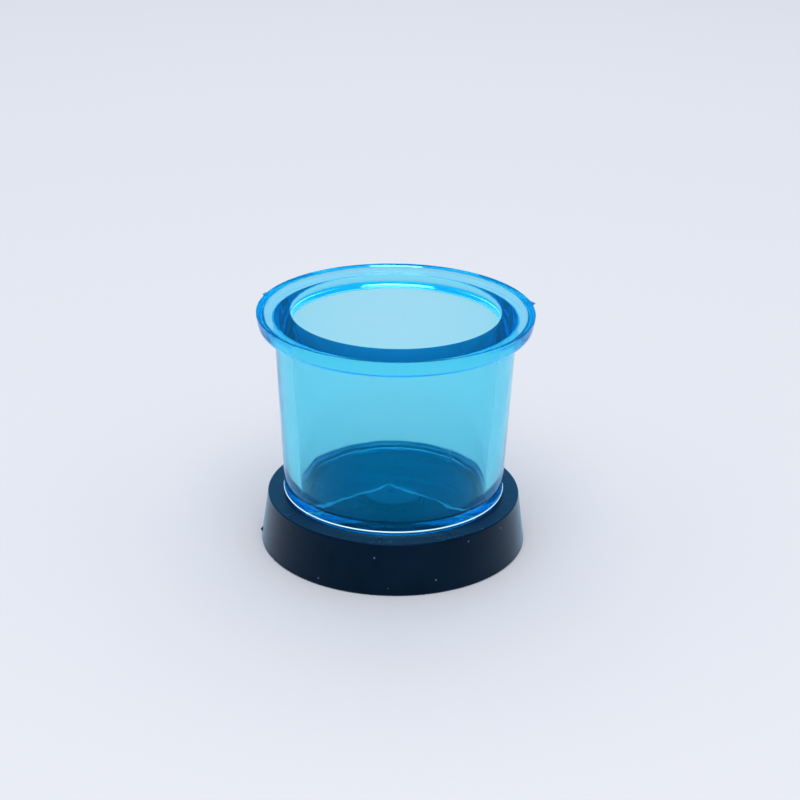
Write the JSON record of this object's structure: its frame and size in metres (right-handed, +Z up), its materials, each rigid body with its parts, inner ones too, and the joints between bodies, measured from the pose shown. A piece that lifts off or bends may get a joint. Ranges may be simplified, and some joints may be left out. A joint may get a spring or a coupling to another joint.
{
  "type": "fuel sampler cup",
  "caption": "Small clear blue flanged cup with a stepped plug end, standing in a flared black rubber foot; holds a fuel sample for inspection.",
  "frame": {"origin": "centre of the foot's underside, on the surface that the part stands on", "axes": "+Z up along the cup's axis, towards its mouth; the part is round about it"},
  "size_m": [0.0408, 0.0408, 0.0367],
  "materials": {
    "clear_blue_plastic": "clear transparent blue moulding, gloss inside and out, thin flash on the rim's parting line",
    "black_rubber": "smooth moulded black rubber, satin, with a little dust"
  },
  "bodies": {
    "foot": {"foot": "black_rubber"},
    "cup": {"cup": "clear_blue_plastic"}
  },
  "joints": [
    {"name": "cup_lift", "type": "slide", "parent": "foot", "child": "cup", "axis": [0, 0, 1], "range_m": [0, 0.02]}
  ]
}
